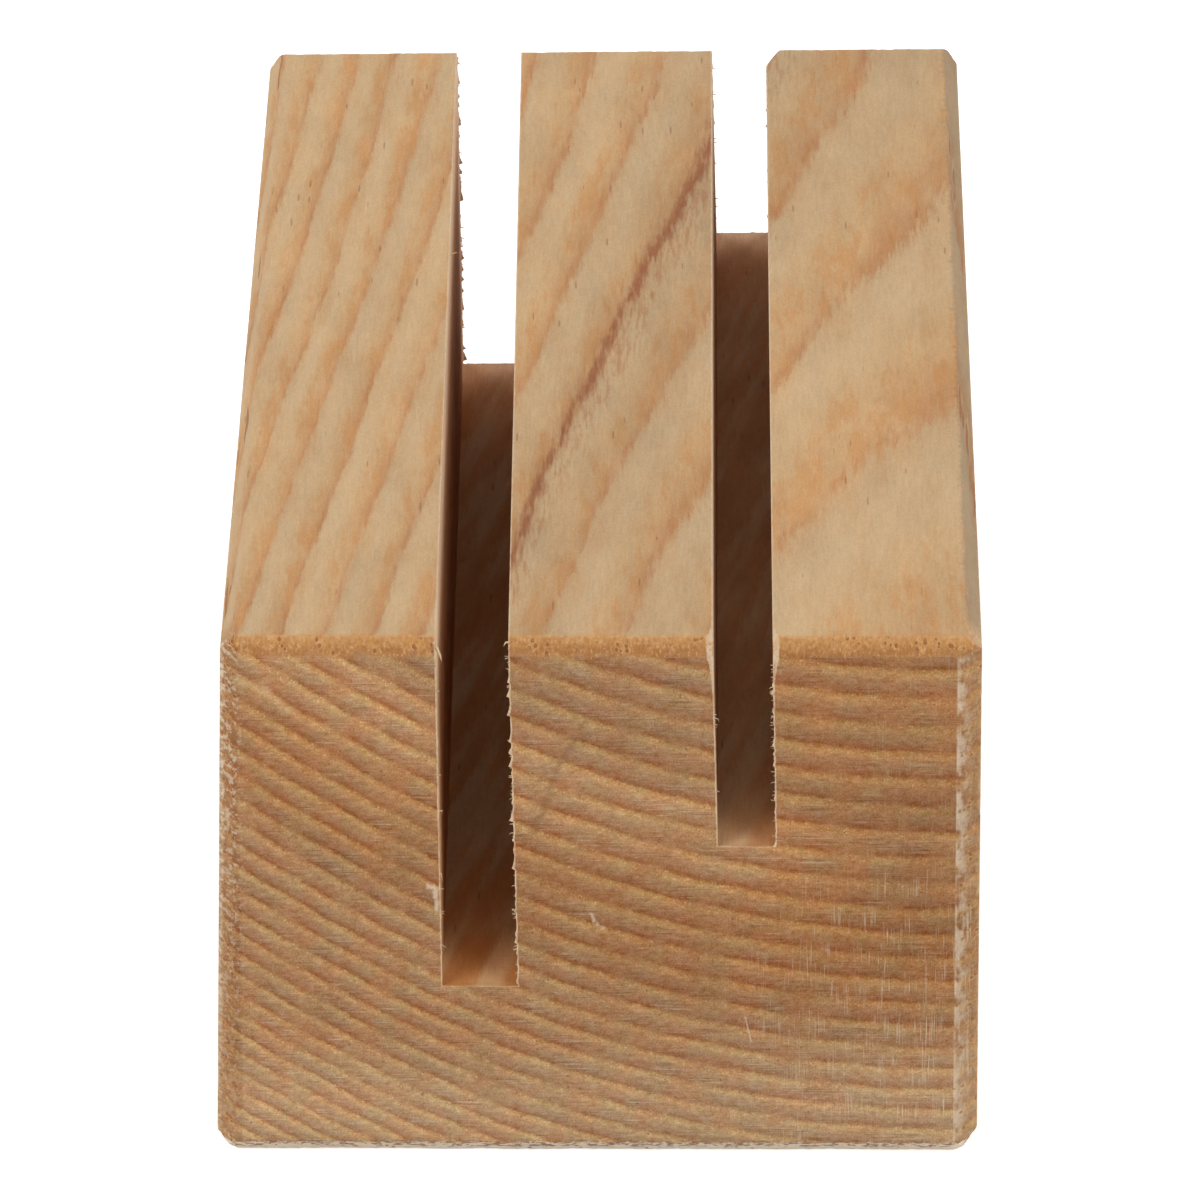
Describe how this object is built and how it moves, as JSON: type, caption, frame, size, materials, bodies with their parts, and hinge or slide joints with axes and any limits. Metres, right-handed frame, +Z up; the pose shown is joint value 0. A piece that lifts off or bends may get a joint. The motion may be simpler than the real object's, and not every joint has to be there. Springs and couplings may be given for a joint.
{
  "type": "place card holder",
  "caption": "Solid wooden block with a deep and a shallow saw slot along its length that hold place cards upright.",
  "frame": {"origin": "centre of the base on the surface that the block stands on", "axes": "+Y along the slots, away from the end that the picture shows; +X across, from the deep slot towards the shallow slot; +Z up"},
  "size_m": [0.0406, 0.085, 0.03],
  "materials": {
    "ash_wood": "bare, finely sanded, saw-cut inside the slots"
  },
  "bodies": {
    "root": {"block": "ash_wood"}
  },
  "joints": []
}
